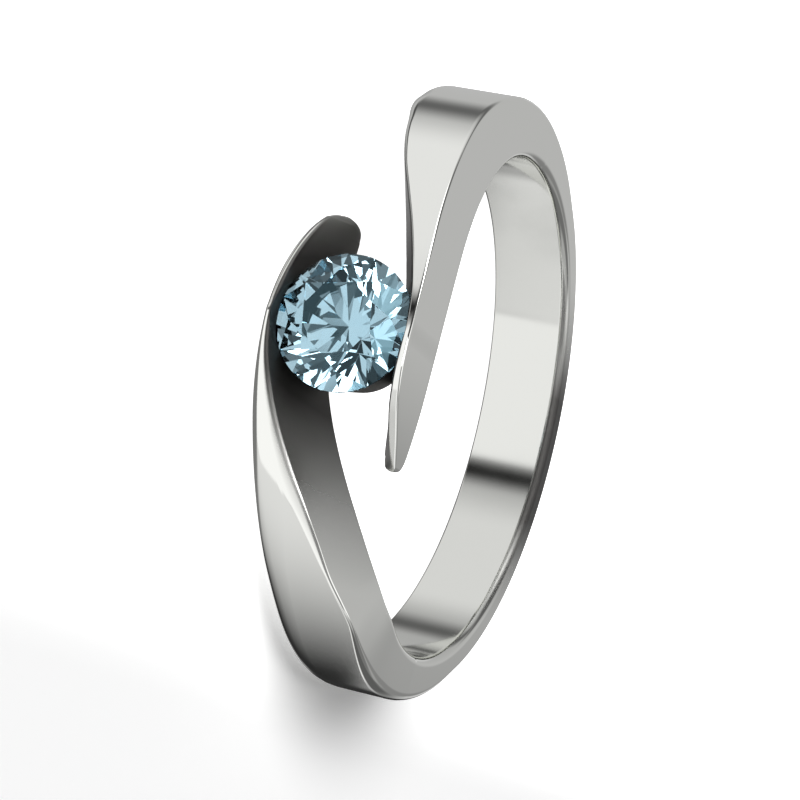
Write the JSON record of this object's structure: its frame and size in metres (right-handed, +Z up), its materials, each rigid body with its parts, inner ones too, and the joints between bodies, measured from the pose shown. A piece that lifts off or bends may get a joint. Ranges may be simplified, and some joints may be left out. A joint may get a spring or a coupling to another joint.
{
  "type": "bypass ring with a round brilliant",
  "caption": "Bypass ring: a flat-sided band whose tapering arms pass each other and hold a round brilliant in a small cup.",
  "frame": {"origin": "centre of the bottom of the box round the ring, on the surface on which it lies", "axes": "+Z up, 3 degrees off the finger axis, since the wide head lifts one end; -Y towards the head and stone; +X across"},
  "size_m": [0.0208, 0.0217, 0.005],
  "materials": {
    "white_metal": "polished white gold",
    "aquamarine": "clear pale blue, faceted and polished"
  },
  "bodies": {
    "root": {"band": "white_metal", "stone": "aquamarine"}
  },
  "joints": []
}
